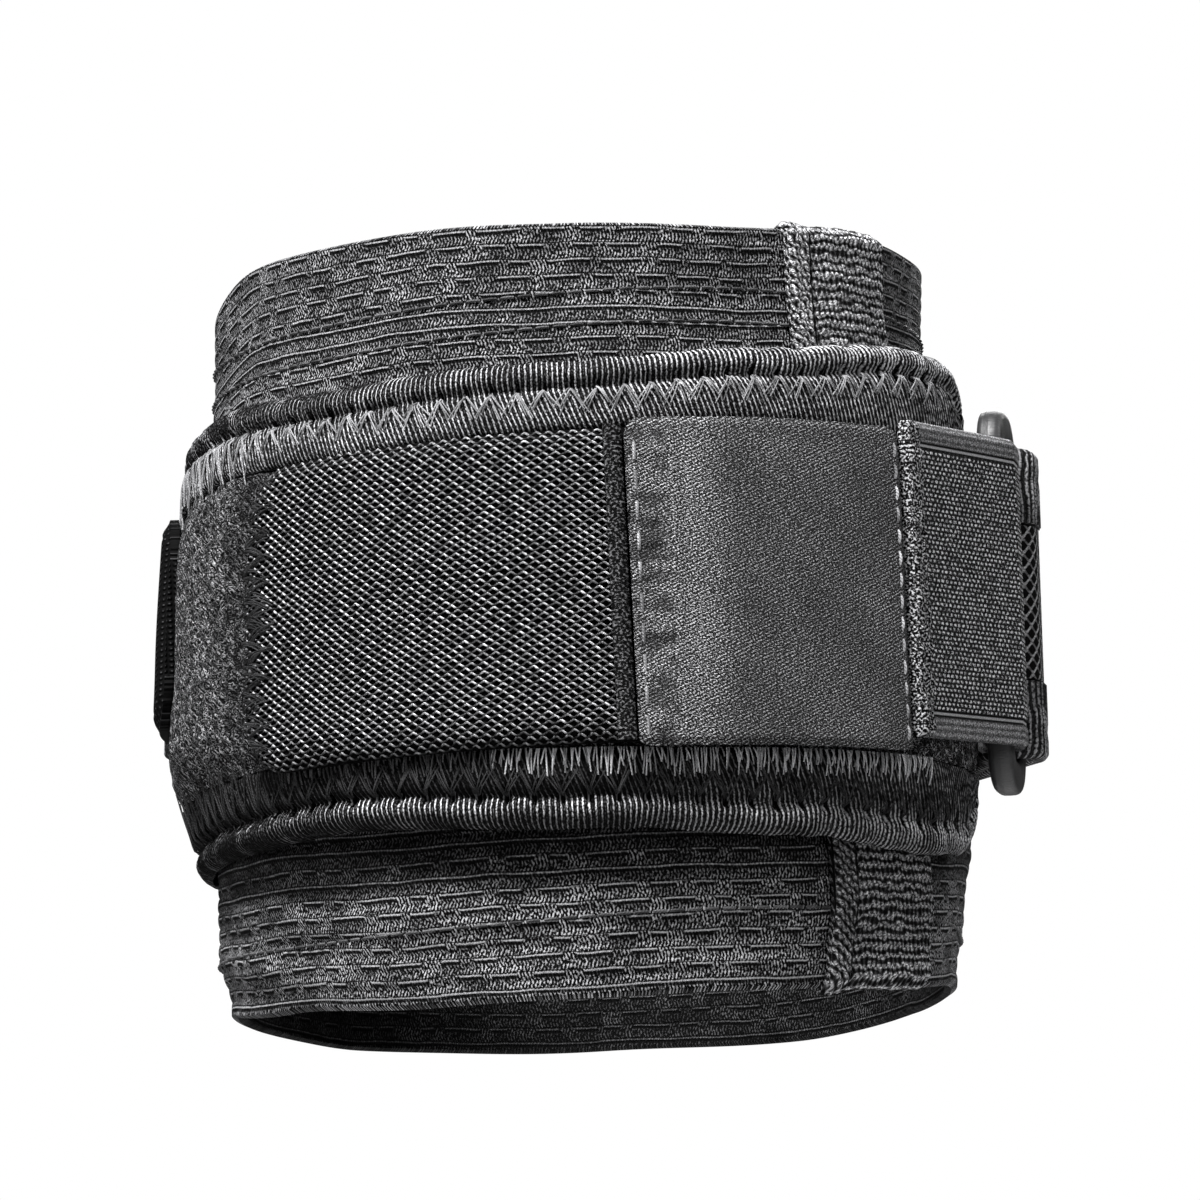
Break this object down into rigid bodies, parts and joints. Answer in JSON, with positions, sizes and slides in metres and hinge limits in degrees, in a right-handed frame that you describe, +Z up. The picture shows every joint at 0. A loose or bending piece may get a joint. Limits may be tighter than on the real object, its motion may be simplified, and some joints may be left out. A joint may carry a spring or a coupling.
{
  "type": "tennis elbow strap",
  "caption": "Elastic forearm sleeve with a padded band round it, fastened by a mesh closure strap that runs through a plastic ring.",
  "frame": {"origin": "centre of the arm opening at the middle of the sleeve's height", "axes": "+Z up the arm through the opening, the front with the mesh panel and the label faces -Y, the ring is on the +X side"},
  "size_m": [0.112, 0.1096, 0.0943],
  "materials": {
    "elastic_knit": "knitted elastic with woven bands of dashes, dull",
    "woven_tape": "coarse woven tape, dull",
    "pile_knit": "brushed loop pile, very dull",
    "ribbed_knit": "finely ribbed knit, slight sheen on the ribs",
    "mesh_knit": "open spacer mesh, slight sheen on the strands",
    "satin": "woven satin, soft sheen",
    "elastic_web": "fine woven elastic webbing, dull",
    "ring_plastic": "moulded plastic, semi-matt",
    "hook_face": "dense hook tape, dull"
  },
  "bodies": {
    "root": {"elastic_sleeve": "elastic_knit", "seam_tape": "woven_tape", "padded_band": "pile_knit", "upper_border": "ribbed_knit", "lower_border": "ribbed_knit", "mesh_panel": "mesh_knit", "label_welt": "woven_tape", "woven_label": "satin", "elastic_tab": "elastic_web", "ring_buckle": "ring_plastic", "closure_strap": "mesh_knit", "strap_upper_edge": "ribbed_knit", "strap_lower_edge": "ribbed_knit", "hook_tab": "hook_face"}
  },
  "joints": []
}
